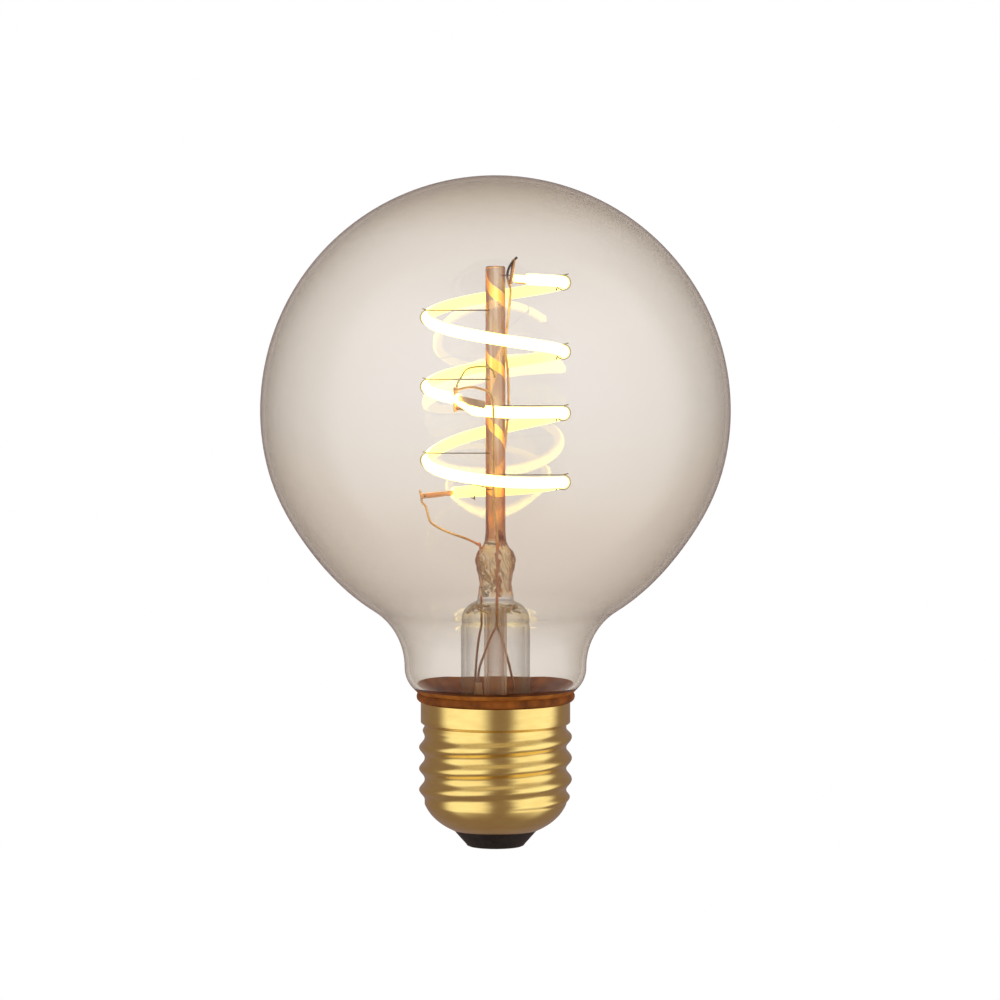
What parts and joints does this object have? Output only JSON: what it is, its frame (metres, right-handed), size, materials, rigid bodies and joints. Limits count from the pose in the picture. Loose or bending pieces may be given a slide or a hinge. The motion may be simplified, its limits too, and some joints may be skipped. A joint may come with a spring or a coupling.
{
  "type": "globe light bulb",
  "caption": "Clear glass globe bulb with spiral-wound flexible light strips on a glass stem, brass screw cap and black insulator.",
  "frame": {"origin": "centre of the flat face of the centre contact, at the bottom of the screw cap", "axes": "+Z along the bulb's axis, from the centre contact up to the crown of the globe; +X to the right in the picture, -Y towards the viewer"},
  "size_m": [0.08, 0.08, 0.1147],
  "materials": {
    "clear_glass": "blown clear glass",
    "stem_glass": "drawn clear glass",
    "light_strip": "silicone over lit diodes",
    "tab_metal": "plated sheet metal",
    "lead_wire": "copper-clad wire",
    "support_wire": "thin dark wire",
    "lead_sleeve": "amber sleeve",
    "cement": "baked basing cement",
    "cap_brass": "satin rolled brass",
    "black_glass": "black moulded glass",
    "tinned_metal": "tinned",
    "board": "solder mask",
    "dark_package": "moulded package",
    "capacitor_sleeve": "printed-free sleeve",
    "ferrite": "sintered ferrite",
    "resistor_body": "lacquered body",
    "live_insulation": "wire insulation",
    "neutral_insulation": "wire insulation"
  },
  "bodies": {
    "root": {"glass_globe": "clear_glass", "stem_flare": "stem_glass", "exhaust_tube": "stem_glass", "stem_pillar": "stem_glass", "upper_strip": "light_strip", "lower_strip": "light_strip", "top_tab": "tab_metal", "middle_tab": "tab_metal", "joint_tab": "tab_metal", "bottom_tab": "tab_metal", "top_lead": "lead_wire", "centre_lead": "lead_wire", "bottom_lead": "lead_wire", "joint_support": "support_wire", "right_hook_top": "support_wire", "right_hook_upper": "support_wire", "right_hook_middle": "support_wire", "right_hook_bottom": "support_wire", "left_hook_top": "support_wire", "left_hook_middle": "support_wire", "left_hook_bottom": "support_wire", "back_hook": "support_wire", "centre_sleeve": "lead_sleeve", "top_sleeve": "lead_sleeve", "bottom_sleeve": "lead_sleeve", "basing_cement": "cement", "cap_shell": "cap_brass", "cap_insulator": "black_glass", "centre_contact": "tinned_metal", "contact_solder": "tinned_metal", "driver_board": "board", "bridge_rectifier": "dark_package", "driver_chip": "dark_package", "storage_capacitor": "capacitor_sleeve", "choke": "ferrite", "fuse_resistor": "resistor_body", "live_wire": "live_insulation", "neutral_wire": "neutral_insulation"}
  },
  "joints": []
}
